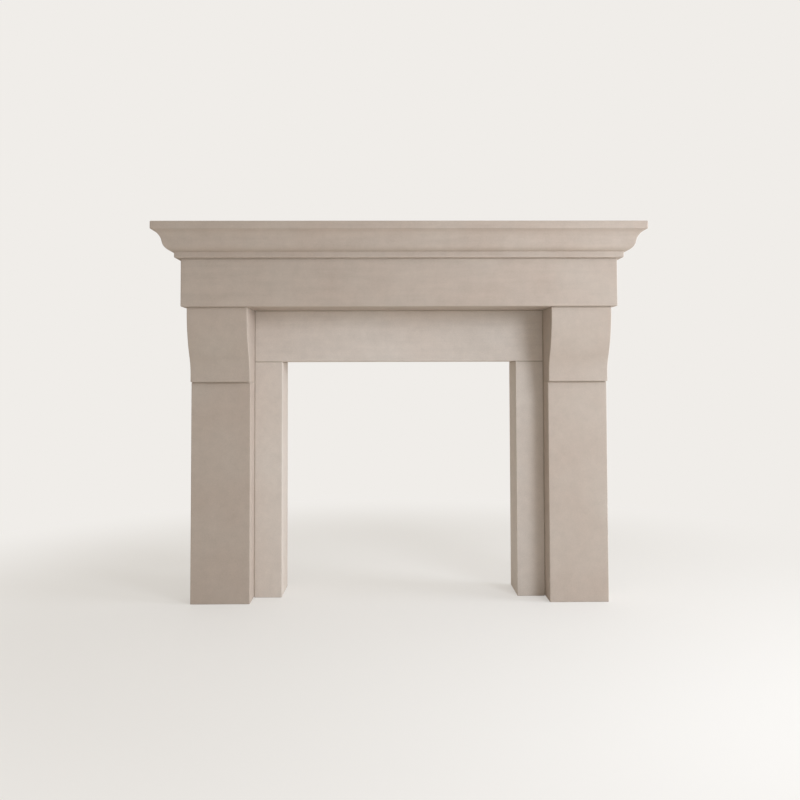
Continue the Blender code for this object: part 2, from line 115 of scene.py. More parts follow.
print("Warm taupe in linear light:", [round(c, 3) for c in linear("#B9AD9F")[:3]])

# %% [markdown]
# ## Tools for the materials
# A surface is uneven in colour, in height and in shine, and at several sizes at once. So
# every material here is built from the same few tools: a noise of a given size, a shift of
# colour by a noise, and a sum of heights for the bump. A photograph pasted on would show
# its edges and repeat. Noise on Object coordinates has real millimetres, and runs round a
# corner as the real mix does.

# %% Tools for materials
NOISE_RANGE = (0.25, 0.75)  # nearly every value of a noise lies between these


def new_material(name):
    """A material, its tree, its shader, and the place on the object in metres."""
    material = bpy.data.materials.new(name)
    material.use_nodes = True
    tree = material.node_tree
    place = add_node(tree, "ShaderNodeTexCoord").outputs["Object"]
    return material, tree, tree.nodes["Principled BSDF"], place


def noise(tree, place, size, detail, stretch=(1, 1, 1), roughness=0.5, number=0.0):
    """A noise from 0 to 1 whose blotches are about size across, stretched along an axis."""
    scaled = add_node(tree, "ShaderNodeMapping", {
        "Vector": place, "Scale": tuple(1 / (size * along) for along in stretch)})
    texture = add_node(tree, "ShaderNodeTexNoise", {
        "Vector": scaled.outputs[0], "W": number, "Scale": 1.0, "Detail": detail,
        "Roughness": roughness}, noise_dimensions="4D")
    return texture.outputs["Fac"]


def shift_colour(tree, colour, amount, strength):
    """Makes a colour lighter where amount is over a half and darker where it is under."""
    gain = add_node(tree, "ShaderNodeMapRange", {
        "Value": amount, "From Min": NOISE_RANGE[0], "From Max": NOISE_RANGE[1],
        "To Min": 1 - strength, "To Max": 1 + strength})
    grey = add_node(tree, "ShaderNodeCombineColor", {
        "Red": gain.outputs[0], "Green": gain.outputs[0], "Blue": gain.outputs[0]})
    mixed = add_node(tree, "ShaderNodeMix", {0: 1.0, 6: colour, 7: grey.outputs[0]},
                     data_type="RGBA", blend_type="MULTIPLY")
    return mixed.outputs[2]


def height_sum(tree, parts):
    """Adds up (noise, height in metres) pairs into one height for a bump."""
    total = 0.0
    for amount, height in parts:
        total = add_node(tree, "ShaderNodeMath", {0: amount, 1: height, 2: total},
                         operation="MULTIPLY_ADD").outputs[0]
    return total


print(f"A noise is used from {NOISE_RANGE[0]} to {NOISE_RANGE[1]}")

# %% [markdown]
# ## Cast stone
# Cast stone is crushed limestone and cement, tamped damp into a mould and rubbed smooth.
# The eye sees a matt face with unevenness at several sizes: clouds a hand wide where the
# mix dried at different rates, smaller blotches, long level smears on the long pieces, a
# speckle of coarse grains, and the sand itself. A noise texture at each size makes these.
# Each casting came out of its own mould, so each carries a number that moves its noise on,
# and a tint: the three pieces round the opening are drawn paler than the other castings.

# %% Cast stone
CLOUD = 220 * mm
BLOTCH = 38 * mm
SMEAR_LENGTH = 300 * mm
SMEAR_HEIGHT = 26 * mm
SMEAR_DEPTH = 3 * SMEAR_HEIGHT
SPECKLE = 3.2 * mm
STONE_SAND = 1.1 * mm  # real sand is about half of that, and is drawn coarser so that it shows
RIPPLE = 60 * mm
STRUCK_GRAIN = 7 * mm
STRUCK_FACING = (0.6, 0.8)  # how far a face looks to the wall, from rubbed to struck
STONE_ROUGHNESS = (0.78, 0.92)
CASTING_NUMBER = "casting"
CASTING_TINT = "paleness"
LAST_LONG_NUMBER = 3.5  # castings 1 to 3 are the long level ones


def cast_stone():
    material, tree, shader, place = new_material("cast_stone_rubbed")
    number = add_node(tree, "ShaderNodeAttribute", attribute_name=CASTING_NUMBER).outputs["Fac"]
    paleness = add_node(tree, "ShaderNodeAttribute", attribute_name=CASTING_TINT).outputs["Fac"]
    clouds = noise(tree, place, CLOUD, 2.0, number=number)
    blotches = noise(tree, place, BLOTCH, 4.0, roughness=0.6, number=number)
    drawn_out = (SMEAR_LENGTH / SMEAR_HEIGHT, SMEAR_DEPTH / SMEAR_HEIGHT, 1)
    smears = noise(tree, place, SMEAR_HEIGHT, 3.0, stretch=drawn_out, roughness=0.6, number=number)
    speckle = noise(tree, place, SPECKLE, 1.0)
    grains = noise(tree, place, STONE_SAND, 2.0, roughness=0.7)
    ripple = noise(tree, place, RIPPLE, 2.0, number=number)
    struck = noise(tree, place, STRUCK_GRAIN, 4.0, roughness=0.65)

    # Smears belong to the long level castings. The others get a noise's middle value instead
    is_long = add_node(tree, "ShaderNodeMath", {0: number, 1: LAST_LONG_NUMBER}, operation="LESS_THAN")
    smears = add_node(tree, "ShaderNodeMix", {0: is_long.outputs[0], 2: 0.5, 3: smears}).outputs[0]

    usual = add_node(tree, "ShaderNodeMix", {0: clouds, 6: linear("#B4A294"), 7: linear("#BBB0A4")},
                     data_type="RGBA").outputs[2]
    # The three pieces round the opening are drawn paler than the other castings
    paler = add_node(tree, "ShaderNodeMix", {0: clouds, 6: linear("#CFC1B5"), 7: linear("#D3CAC0")},
                     data_type="RGBA").outputs[2]
    mix = add_node(tree, "ShaderNodeMix", {0: paleness, 6: usual, 7: paler}, data_type="RGBA").outputs[2]
    for pattern, strength in ((blotches, 0.055), (smears, 0.05), (speckle, 0.05), (grains, 0.09)):
        mix = shift_colour(tree, mix, pattern, strength)

    # The face that was struck off level in the mould looks to the wall and was never rubbed
    facing = add_node(tree, "ShaderNodeNewGeometry").outputs["True Normal"]
    towards_wall = add_node(tree, "ShaderNodeSeparateXYZ", {0: facing}).outputs["Y"]
    is_struck = add_node(tree, "ShaderNodeMapRange", {
        "Value": towards_wall, "From Min": STRUCK_FACING[0], "From Max": STRUCK_FACING[1]}).outputs[0]
    rough_mix = shift_colour(tree, linear("#B0A498"), struck, 0.16)
    rubbed_height = height_sum(tree, [(grains, 0.12 * mm), (speckle, 0.12 * mm), (ripple, 0.6 * mm)])
    struck_height = height_sum(tree, [(struck, 1.8 * mm)])
    height = add_node(tree, "ShaderNodeMix", {0: is_struck, 2: rubbed_height, 3: struck_height})
    bump = add_node(tree, "ShaderNodeBump", {
        "Height": height.outputs[0], "Distance": 1.0, "Strength": 0.6})
    colour = add_node(tree, "ShaderNodeMix", {0: is_struck, 6: mix, 7: rough_mix}, data_type="RGBA")
    dryness = add_node(tree, "ShaderNodeMapRange", {
        "Value": clouds, "To Min": STONE_ROUGHNESS[0], "To Max": STONE_ROUGHNESS[1]})
    feed(tree, shader, {
        "Base Color": colour.outputs[2], "Normal": bump.outputs[0],
        "Roughness": dryness.outputs[0], "IOR": 1.5, "Specular IOR Level": 0.35})
    return material


STONE = cast_stone()
print("Cast stone has", len(STONE.node_tree.nodes), "nodes")

# %% [markdown]
# ## Mortar
# The joints are filled with a sand and lime mortar, raked back while it is soft. It is a
# little darker than the stone and its sand stands out, so it scatters light even more. Two
# noises, one for the sand and one for the damp, are enough at this width.

# %% Mortar
SAND = 1.6 * mm  # drawn coarser than real sand, so that it shows on a narrow joint
DAMP = 70 * mm


def lime_mortar():
    material, tree, shader, place = new_material("lime_mortar_raked")
    sand = noise(tree, place, SAND, 2.0, roughness=0.7)
    damp = noise(tree, place, DAMP, 2.0)
    mix = add_node(tree, "ShaderNodeMix", {0: damp, 6: linear("#ACA092"), 7: linear("#B9ADA0")},
                   data_type="RGBA").outputs[2]
    height = height_sum(tree, [(sand, 0.5 * mm)])
    bump = add_node(tree, "ShaderNodeBump", {"Height": height, "Distance": 1.0, "Strength": 0.8})
    feed(tree, shader, {
        "Base Color": shift_colour(tree, mix, sand, 0.2), "Normal": bump.outputs[0],
        "Roughness": 0.95, "Specular IOR Level": 0.25})
    return material


MORTAR = lime_mortar()
print("Mortar has", len(MORTAR.node_tree.nodes), "nodes")

# %% [markdown]
# ## Stainless steel
# The ties, screws and pins are A2 stainless steel, which doesn't rust and stain the stone.
# Strip for ties comes from the rolling mill with fine lines along its length. The ties run
# up the wall and into the stone, so a noise is drawn out along both ways. It changes the
# roughness, and barely touches the colour.

# %% Stainless steel
ROLLING_LINE = 0.5 * mm  # real ones are much finer, and are drawn this coarse so that they show
DRAWN_OUT = 60
STEEL_ROUGHNESS = (0.26, 0.46)


def mill_steel():
    material, tree, shader, place = new_material("stainless_steel_mill_finish")
    rolled = noise(tree, place, ROLLING_LINE, 3.0, stretch=(1, DRAWN_OUT, DRAWN_OUT))
    lines = add_node(tree, "ShaderNodeMapRange", {
        "Value": rolled, "To Min": STEEL_ROUGHNESS[0], "To Max": STEEL_ROUGHNESS[1]})
    height = height_sum(tree, [(rolled, 0.03 * mm)])
    bump = add_node(tree, "ShaderNodeBump", {"Height": height, "Distance": 1.0, "Strength": 0.5})
    feed(tree, shader, {
        "Base Color": shift_colour(tree, linear("#B9B8B4"), rolled, 0.06),
        "Normal": bump.outputs[0], "Roughness": lines.outputs[0], "Metallic": 1.0})
    return material


STEEL = mill_steel()
print("Steel has", len(STEEL.node_tree.nodes), "nodes")

# %% [markdown]
# ## Geometry trees as tools
# A geometry tree is a small machine with labelled dials. The helpers here make a tree with
# named inputs, hang it on an object with its dials set, and then keep the result as a plain
# mesh. The dials are set by identifier, since two inputs may share a name, and before the
# first evaluation, so that the tree never runs on its defaults.

# %% Making a tree and running it
WELD = 0.01 * mm  # points that are nearer than this are one
SOCKETS = {float: "NodeSocketFloat", int: "NodeSocketInt", tuple: "NodeSocketVector",
           bpy.types.Object: "NodeSocketObject", bpy.types.Material: "NodeSocketMaterial"}


def new_tree(name, sizes):
    """A geometry tree with one input for each named size. Gives the tree, its dials and its way out."""
    tree = bpy.data.node_groups.new(name, "GeometryNodeTree")
    tree.interface.new_socket("Geometry", in_out="INPUT", socket_type="NodeSocketGeometry")
    tree.interface.new_socket("Geometry", in_out="OUTPUT", socket_type="NodeSocketGeometry")
    for label, value in sizes.items():
        tree.interface.new_socket(label, in_out="INPUT", socket_type=SOCKETS[type(value)])
    return tree, add_node(tree, "NodeGroupInput").outputs, add_node(tree, "NodeGroupOutput").inputs[0]


def close_tree(tree, geometry, material, way_out):
    """Every tree ends with real geometry in one material."""
    real = add_node(tree, "GeometryNodeRealizeInstances", {0: geometry})
    finished = add_node(tree, "GeometryNodeSetMaterial", {"Geometry": real.outputs[0], "Material": material})
    tree.links.new(finished.outputs[0], way_out)


def run_tree(piece, tree, sizes):
    """Runs a tree on a piece with its dials set, and leaves the piece a plain mesh."""
    modifier = piece.modifiers.new(tree.name, "NODES")
    modifier.node_group = tree
    for item in tree.interface.items_tree:
        if item.in_out == "INPUT" and item.name in sizes:
            modifier[item.identifier] = sizes[item.name]
    keep_result(piece)


def keep_result(piece):
    """Turns what a piece's modifiers make of it into its own plain mesh."""
    depsgraph = bpy.context.evaluated_depsgraph_get()
    result = bpy.data.meshes.new_from_object(piece.evaluated_get(depsgraph))
    piece.modifiers.clear()
    piece.data = result


def new_piece(name, mesh=None):
    piece = bpy.data.objects.new(name, mesh or bpy.data.meshes.new(name))
    bpy.context.scene.collection.objects.link(piece)
    return piece


def remove(piece):
    mesh = piece.data
    bpy.data.objects.remove(piece, do_unlink=True)
    bpy.data.meshes.remove(mesh)


print("A tree can have", len(SOCKETS), "kinds of dial")

# %% [markdown]
# ## The shelf's moulding
# The shelf is run with a cyma recta: a small fillet, a convex ovolo, a short throat, a
# concave cavetto and a plain top fillet. Its rule is simple. The profile gives how far the
# stone stands out at each height, and the plan rectangle grows by that much on three sides,
# which mitres both corners. A skin of arcs drawn this way is smoother than the engineer's
# facets, and no point of it is placed by hand.

# %% The profile as a list of arcs
OVOLO_SWEEP = radians(78)
CAVETTO_SWEEP = radians(57)
OVOLO_RADIUS = 36 * mm
CAVETTO_RADIUS = 50 * mm
SMALL_FILLET = (20 * mm, 22 * mm)
THROAT = 8 * mm
TOP_STEP = 2 * mm
ARRIS = 3 * mm

shelf_height = SHELF_HIGH.z - SHELF_LOW.z
shelf_overhang = SHELF_HIGH.x - FRIEZE_HIGH.x
lean = pi / 2 - OVOLO_SWEEP
ovolo_centre = Vector((SMALL_FILLET[0], SMALL_FILLET[1] + OVOLO_RADIUS))
throat_top = ovolo_centre + OVOLO_RADIUS * Vector((cos(lean), -sin(lean)))
throat_top += THROAT * Vector((sin(lean), cos(lean)))
cavetto_centre = throat_top + CAVETTO_RADIUS * Vector((cos(lean), -sin(lean)))
cavetto_end = pi - lean - CAVETTO_SWEEP
lip = cavetto_centre + CAVETTO_RADIUS * Vector((cos(cavetto_end), sin(cavetto_end)))
top_face = lip.x + TOP_STEP

# Each arc: name, centre as (projection, height), radius, start, sweep, number of points
ARCS = [
    ("Lower Arris", (SMALL_FILLET[0] - ARRIS, ARRIS), ARRIS, -pi / 2, pi / 2, 6),
    ("Ovolo", tuple(ovolo_centre), OVOLO_RADIUS, -pi / 2, OVOLO_SWEEP, 25),
    ("Cavetto", tuple(cavetto_centre), CAVETTO_RADIUS, pi - lean, -CAVETTO_SWEEP, 21),
    ("Lip Arris", (top_face - ARRIS, lip.y + ARRIS), ARRIS, -pi / 4, pi / 4, 4),
    ("Top Arris", (top_face - ARRIS, shelf_height - ARRIS), ARRIS, 0.0, pi / 2, 6),
]
print(f"The moulding stands out {top_face / mm:.2f} mm, and the frame's {shelf_overhang / mm:.2f} mm")

# %% [markdown]
# Two lines make the moulding. The profile comes from a Curve Arc node for each arc: all
# their points are sorted by height, so the straight fillets and the throat appear by
# themselves between the arcs. The plan is the rectangle of the frieze below, which ends at
# the wall and has its two front corners eased.

# %% The profile and the plan
MITRE_POINTS = 4


def profile_line(tree, dial, height):
    drawn = []
    for name, *_, count in ARCS:
        arc = add_node(tree, "GeometryNodeCurveArc", {
            "Resolution": count, "Radius": dial[name + " Radius"],
            "Start Angle": dial[name + " Start"], "Sweep Angle": dial[name + " Sweep"]})
        placed = add_node(tree, "GeometryNodeTransform", {
            "Geometry": arc.outputs["Curve"], "Translation": dial[name + " Centre"]})
        points = add_node(tree, "GeometryNodeCurveToPoints", {"Curve": placed.outputs[0]}, mode="EVALUATED")
        drawn.append(points.outputs["Points"])
    loose = add_node(tree, "GeometryNodeJoinGeometry", {"Geometry": drawn}).outputs[0]
    return add_node(tree, "GeometryNodePointsToCurves", {"Points": loose, "Weight": height}).outputs[0]


def plan_line(tree, dial, depth_here):
    width = add_node(tree, "ShaderNodeMath", {0: dial["Half Width"], 1: 2.0},
                     operation="MULTIPLY").outputs[0]
    half_depth = add_node(tree, "ShaderNodeMath", {0: dial["Depth"], 1: -0.5},
                          operation="MULTIPLY").outputs[0]
    forward = add_node(tree, "ShaderNodeCombineXYZ", {"Y": half_depth}).outputs[0]
    rectangle = add_node(tree, "GeometryNodeCurvePrimitiveQuadrilateral", {
        "Width": width, "Height": dial["Depth"]}).outputs[0]
    on_wall = add_node(tree, "GeometryNodeTransform", {"Geometry": rectangle, "Translation": forward})
    is_front = add_node(tree, "ShaderNodeMath", {0: depth_here, 1: half_depth},
                        operation="LESS_THAN").outputs[0]
    radius = add_node(tree, "ShaderNodeMath", {0: is_front, 1: dial["Mitre Arris"]},
                      operation="MULTIPLY").outputs[0]
    return add_node(tree, "GeometryNodeFilletCurve", {
        0: on_wall.outputs[0], "Count": MITRE_POINTS, "Radius": radius}, mode="POLY").outputs[0]


print(sum(count for *_, count in ARCS), "points along the profile")

# %% [markdown]
# A grid with one column for each point of the plan and one row for each point of the
# profile is then laid on the rule. Filled copies of the plan close its top and bottom. A
# boolean takes out the hollows, as the core of the mould does. The tree has a dial for each
# size, set here from the frame and from the list of arcs, so the same tree would run any
# moulding of this kind.

# %% The moulding tree
def moulding_tree(sizes):
    tree, dial, way_out = new_tree("run moulding", sizes)
    position = add_node(tree, "GeometryNodeInputPosition").outputs[0]
    here = add_node(tree, "ShaderNodeSeparateXYZ", {0: position}).outputs
    plan = plan_line(tree, dial, here["Y"])
    profile, corners = (
        add_node(tree, "GeometryNodeCurveToPoints", {"Curve": line}, mode="EVALUATED").outputs["Points"]
        for line in (profile_line(tree, dial, here["Y"]), plan))
    rows, columns = (
        add_node(tree, "GeometryNodeAttributeDomainSize", {0: points}, component="POINTCLOUD").outputs[0]
        for points in (profile, corners))

    def grown(plan_point, row):
        """The rule: the plan grows by the projection that the profile has in this row."""
        profile_point = add_node(tree, "GeometryNodeSampleIndex", {0: profile, 1: position, "Index": row},
                                 data_type="FLOAT_VECTOR", domain="POINT").outputs[0]
        flat = add_node(tree, "ShaderNodeSeparateXYZ", {0: plan_point}).outputs
        edge = add_node(tree, "ShaderNodeSeparateXYZ", {0: profile_point}).outputs
        result = {"Z": edge["Y"]}
        for axis, reach in (("X", "Half Width"), ("Y", "Depth")):
            share = add_node(tree, "ShaderNodeMath", {0: edge["X"], 1: dial[reach]}, operation="DIVIDE")
            moved = add_node(tree, "ShaderNodeMath", {0: flat[axis], 1: share.outputs[0], 2: flat[axis]},
                             operation="MULTIPLY_ADD")
            result[axis] = moved.outputs[0]
        return add_node(tree, "ShaderNodeCombineXYZ", result).outputs[0]

    def counted(along, total):
        """Turns a place on the grid, from -0.5 to 0.5, into a whole number from 0 to total."""
        middle = add_node(tree, "ShaderNodeMath", {0: total, 1: 0.5}, operation="MULTIPLY").outputs[0]
        scaled = add_node(tree, "ShaderNodeMath", {0: along, 1: total, 2: middle}, operation="MULTIPLY_ADD")
        return add_node(tree, "ShaderNodeMath", {0: scaled.outputs[0]}, operation="ROUND").outputs[0]

    last_row = add_node(tree, "ShaderNodeMath", {0: rows, 1: 1.0}, operation="SUBTRACT").outputs[0]
    seam = add_node(tree, "ShaderNodeMath", {0: columns, 1: 1.0}, operation="ADD").outputs[0]
    grid = add_node(tree, "GeometryNodeMeshGrid", {
        "Size X": 1.0, "Size Y": 1.0, "Vertices X": seam, "Vertices Y": rows})
    column = add_node(tree, "ShaderNodeMath", {0: counted(here["X"], columns), 1: columns},
                      operation="FLOORED_MODULO").outputs[0]
    corner = add_node(tree, "GeometryNodeSampleIndex", {0: corners, 1: position, "Index": column},
                      data_type="FLOAT_VECTOR", domain="POINT").outputs[0]
    skin = add_node(tree, "GeometryNodeSetPosition", {
        0: grid.outputs["Mesh"], "Position": grown(corner, counted(here["Y"], last_row))}).outputs[0]

    filled = add_node(tree, "GeometryNodeFillCurve", {0: plan}, mode="NGONS").outputs[0]
    top, bottom = (
        add_node(tree, "GeometryNodeSetPosition", {0: filled, "Position": grown(position, row)}).outputs[0]
        for row in (last_row, 0))
    underside = add_node(tree, "GeometryNodeFlipFaces", {0: bottom}).outputs[0]

    shell = add_node(tree, "GeometryNodeJoinGeometry", {"Geometry": [skin, top, underside]})
    closed = add_node(tree, "GeometryNodeMergeByDistance", {0: shell.outputs[0], "Distance": WELD})
    placed = add_node(tree, "GeometryNodeTransform", {
        "Geometry": closed.outputs[0], "Translation": dial["Place"]})
    hollows = add_node(tree, "GeometryNodeObjectInfo", {"Object": dial["Hollows"]}).outputs["Geometry"]
    cored = add_node(tree, "GeometryNodeMeshBoolean", {
        0: placed.outputs[0], 1: hollows, "Self Intersection": True},
        operation="DIFFERENCE", solver="EXACT")
    close_tree(tree, cored.outputs[0], dial["Stone"], way_out)
    return tree


shelf_sizes = {"Half Width": FRIEZE_HIGH.x, "Depth": WALL_Y - FRIEZE_LOW.y, "Mitre Arris": ARRIS}
for name, centre, radius, start, sweep, _ in ARCS:
    shelf_sizes.update({name + " Centre": (*centre, 0.0), name + " Radius": radius,
                        name + " Start": start, name + " Sweep": sweep})
shelf_sizes.update({"Place": (0.0, WALL_Y, SHELF_LOW.z), "Hollows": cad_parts["mantel_shelf"],
                    "Stone": STONE})
moulding = moulding_tree(shelf_sizes)
print("The moulding tree has", len(shelf_sizes), "dials")

# %% [markdown]
# ## The hollows of the shelf
# A solid shelf would weigh two thirds more, so it is cast over cores that leave a wall of
# 30 mm and two ribs over the corbels. Slots in its lower web let the wall ties rise past
# it, and four bores take pins. The ties and pins are in the frame already, so each slot
# and bore is cut round the box of the piece that it takes.

# %% Cutters for the hollows
SHELF_WALL = 30 * mm
RIB = 40 * mm
DRAFT = 3 * mm
CLEARANCE = 0.3 * mm
OVERRUN = 10 * mm
TIE_THICKNESS = 3 * mm
BORE_SIDES = 24


def wedge(low_corners, high_corners):
    """A closed six-sided solid from its four lower and four upper corners."""
    shape = bmesh.new()
    bottom, top = ([shape.verts.new(corner) for corner in ring] for ring in (low_corners, high_corners))
    shape.faces.new(bottom)
    shape.faces.new(reversed(top))
    for index in range(4):
        after = (index + 1) % 4
        shape.faces.new((bottom[after], bottom[index], top[index], top[after]))
    bmesh.ops.recalc_face_normals(shape, faces=shape.faces)
    return shape


def core(xs_low, xs_high, reach_low, reach_high):
    """A core with a tapered nose, drawn out through the wall side."""
    def ring(xs, reach, height):
        nose = FRIEZE_LOW.y - reach
        return [(xs[0], WALL_Y + OVERRUN, height), (xs[1], WALL_Y + OVERRUN, height),
                (xs[1] - DRAFT, nose, height), (xs[0] + DRAFT, nose, height)]
    return wedge(ring(xs_low, reach_low, SHELF_LOW.z + SHELF_WALL),
                 ring(xs_high, reach_high, SHELF_HIGH.z - SHELF_WALL))


def slot_for(tie):
    low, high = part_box(tie)
    xs = (low.x - CLEARANCE, high.x + CLEARANCE)
    ys = (WALL_Y - (TIE_THICKNESS + CLEARANCE), WALL_Y + OVERRUN)
    plan = [(xs[0], ys[0]), (xs[1], ys[0]), (xs[1], ys[1]), (xs[0], ys[1])]
    ends = (SHELF_LOW.z - OVERRUN, SHELF_LOW.z + SHELF_WALL + CLEARANCE)
    return wedge(*([(x, y, z) for x, y in plan] for z in ends))


def bore_for(pin):
    low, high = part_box(pin)
    centre = (low + high) / 2
    top, bottom = high.z + CLEARANCE, SHELF_LOW.z - OVERRUN
    radius = (high.x - low.x) / 2 + CLEARANCE
    shape = bmesh.new()
    place = Matrix.Translation((centre.x, centre.y, (top + bottom) / 2))
    bmesh.ops.create_cone(shape, cap_ends=True, segments=BORE_SIDES, radius1=radius, radius2=radius,
                          depth=top - bottom, matrix=place)
    return shape


def cavetto_at(height):
    """How far the cavetto stands out at one height above the shelf's underside."""
    rise = (height - cavetto_centre.y) / CAVETTO_RADIUS
    return cavetto_centre.x - CAVETTO_RADIUS * sqrt(1 - rise ** 2)


def shelf_cutters():
    rib_middle = sum(corner.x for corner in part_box("corbel_right")) / 2
    inner, outer = rib_middle - RIB / 2, rib_middle + RIB / 2
    reach_low = SMALL_FILLET[0] - SHELF_WALL
    reach_high = cavetto_at(shelf_height - SHELF_WALL) - SHELF_WALL
    ends = [FRIEZE_HIGH.x + reach for reach in (reach_low, reach_high)]
    cutters = [
        core((-inner, inner), (-inner, inner), reach_low, reach_high),
        core((outer, ends[0]), (outer, ends[1]), reach_low, reach_high),
        core((-ends[0], -outer), (-ends[1], -outer), reach_low, reach_high),
    ]
    cutters += [slot_for("tie_frieze_" + word) for word in ("left", "middle", "right")]
    cutters += [bore_for(f"pin_frieze_{word}_{number}") for word in ("left", "right") for number in (1, 2)]
    whole = bmesh.new()
    carrier = bpy.data.meshes.new("carrier")
    for cutter in cutters:
        cutter.to_mesh(carrier)
        whole.from_mesh(carrier)
        cutter.free()
    whole.to_mesh(carrier)
    whole.free()
    return new_piece("shelf_hollows", carrier), len(cutters)


hollows, count = shelf_cutters()
print(count, "cutters for the back of the shelf")

# %% [markdown]
# The tree runs once, and takes out the cutters as the shelf's hollows. What it makes is kept
# as a plain mesh of stone, and the cutters are thrown away.

# %% The shelf
shelf = new_piece("moulded_shelf")
run_tree(shelf, moulding, {**shelf_sizes, "Hollows": hollows})
remove(hollows)
shelf.data.materials.clear()
shelf.data.materials.append(STONE)
castings = {"mantel_shelf": shelf}
print("The shelf has", len(shelf.data.vertices), "points and", len(shelf.data.polygons), "faces")

# %% [markdown]
# ## The other castings
# Legs, corbels, frieze, slips and lintel already have their true shape in the frame. The
# frame keeps its triangles loose, so a copy is welded first. Welding lets the finish run
# over an eased edge, and gives the next step a closed solid to cut.

# %% Welded copies
def welded_copy(node, name):
    copy = new_piece(name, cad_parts[node].data.copy())
    copy.data.materials.clear()
    copy.data.materials.append(STONE)
    shape = bmesh.new()
    shape.from_mesh(copy.data)
    bmesh.ops.remove_doubles(shape, verts=shape.verts, dist=WELD)
    open_edges = sum(1 for edge in shape.edges if len(edge.link_faces) != 2)
    shape.to_mesh(copy.data)
    shape.free()
    print(f"{node}: {open_edges} open edges")
    return copy


UPRIGHTS = [kind + side for kind in ("leg", "corbel", "inner_slip") for side in ("_left", "_right")]
for node in ("frieze", "inner_lintel", *UPRIGHTS):
    castings[node] = welded_copy(node, "cast_" + node)

# %% [markdown]
# ## Air voids
# Damp-cast stone never comes out of the mould perfect. Small bubbles of air sit against the
# mould and leave round voids from 0.7 to 3 mm across, most of them small, in loose
# clusters. Painted dots would not catch the light, so they are cut: a tree scatters points
# on the rubbed faces, sets a flattened ball on each, and takes the balls out of the stone.

# %% The void tree
LOOKS_TO_WALL = 0.5  # a face that is turned this far to the wall was never rubbed
CLUSTERS_PER_METRE = 5.0
CLUSTER_EDGE = (0.45, 0.62)  # the noise where a cluster begins, and where it is full
OUT_OF_CLUSTER = 0.05  # the share of a full cluster's voids that lies between the clusters
RARITY = 2.5  # the power that makes large voids rare
FLATTENING = 0.7  # the depth of a ball over its radius


def void_tree(sizes):
    tree, dial, way_out = new_tree("air voids", sizes)
    facing = add_node(tree, "GeometryNodeInputNormal").outputs[0]
    towards_wall = add_node(tree, "ShaderNodeSeparateXYZ", {0: facing}).outputs["Y"]
    rubbed = add_node(tree, "FunctionNodeCompare", {0: towards_wall, 1: LOOKS_TO_WALL},
                      data_type="FLOAT", operation="LESS_THAN").outputs[0]
    cluster = add_node(tree, "ShaderNodeTexNoise", {"Scale": CLUSTERS_PER_METRE, "Detail": 1.0})
    thickness = add_node(tree, "ShaderNodeMapRange", {
        "Value": cluster.outputs["Fac"], "From Min": CLUSTER_EDGE[0], "From Max": CLUSTER_EDGE[1],
        "To Min": OUT_OF_CLUSTER})
    points = add_node(tree, "GeometryNodeDistributePointsOnFaces", {
        "Mesh": dial["Geometry"], "Selection": rubbed, "Distance Min": dial["Spacing"],
        "Density Max": dial["Per Square Metre"], "Density Factor": thickness.outputs[0],
        "Seed": dial["Seed"]}, distribute_method="POISSON")
    chance = add_node(tree, "FunctionNodeRandomValue", {2: 0.0, 3: 1.0, "Seed": dial["Seed"]},
                      data_type="FLOAT")
    mostly_small = add_node(tree, "ShaderNodeMath", {0: chance.outputs[1], 1: RARITY}, operation="POWER")
    radius = add_node(tree, "ShaderNodeMapRange", {
        "Value": mostly_small.outputs[0], "To Min": dial["Smallest"],
        "To Max": dial["Largest"]}).outputs[0]
    depth = add_node(tree, "ShaderNodeMath", {0: radius, 1: FLATTENING}, operation="MULTIPLY").outputs[0]
    size = add_node(tree, "ShaderNodeCombineXYZ", {"X": radius, "Y": radius, "Z": depth})
    ball = add_node(tree, "GeometryNodeMeshIcoSphere", {"Radius": 1.0, "Subdivisions": 2})
    balls = add_node(tree, "GeometryNodeInstanceOnPoints", {
        "Points": points.outputs["Points"], "Instance": ball.outputs["Mesh"],
        "Rotation": points.outputs["Rotation"], "Scale": size.outputs[0]})
    real_balls = add_node(tree, "GeometryNodeRealizeInstances", {0: balls.outputs[0]})
    pitted = add_node(tree, "GeometryNodeMeshBoolean", {0: dial["Geometry"], 1: real_balls.outputs[0]},
                      operation="DIFFERENCE", solver="EXACT")
    close_tree(tree, pitted.outputs[0], dial["Stone"], way_out)
    return tree


FIRST_SEED = 11
void_sizes = {"Per Square Metre": 220.0, "Spacing": 5 * mm, "Smallest": 0.35 * mm, "Largest": 1.5 * mm,
              "Seed": FIRST_SEED, "Stone": STONE}
voids = void_tree(void_sizes)
print("The void tree has", len(void_sizes), "dials")

# %% [markdown]
# The tree runs on every casting. Each has a fixed seed of its own, so no two are alike and
# every run gives the same stone.

# %% Voids in each casting
for seed, casting in enumerate(castings.values(), start=FIRST_SEED):
    before = len(casting.data.polygons)
    run_tree(casting, voids, {**void_sizes, "Seed": seed})
    print(casting.name, "went from", before, "to", len(casting.data.polygons), "faces")

# %% [markdown]
# ## Edges that catch the light
# The arrises that show are eased by 3 mm, and that thin strip is what catches the light.
# Plain smooth shading would bend the light over the big flats too. So each corner is given
# its normal by a rule: a flat keeps its own direction right up to its edge, a strip beside
# a flat starts from that direction, and a curved face averages with its neighbours. The
# rule doesn't mind how the voids have cut a flat up.

# %% Normals by rule
SHARP = radians(35)
FLAT_AREA = 0.01  # square metres


def plane_of(face):
    """A face's plane: its direction to a thousandth, and its place to a tenth of a millimetre."""
    return *(round(part, 3) for part in face.normal), round(face.normal.dot(face.verts[0].co), 4)


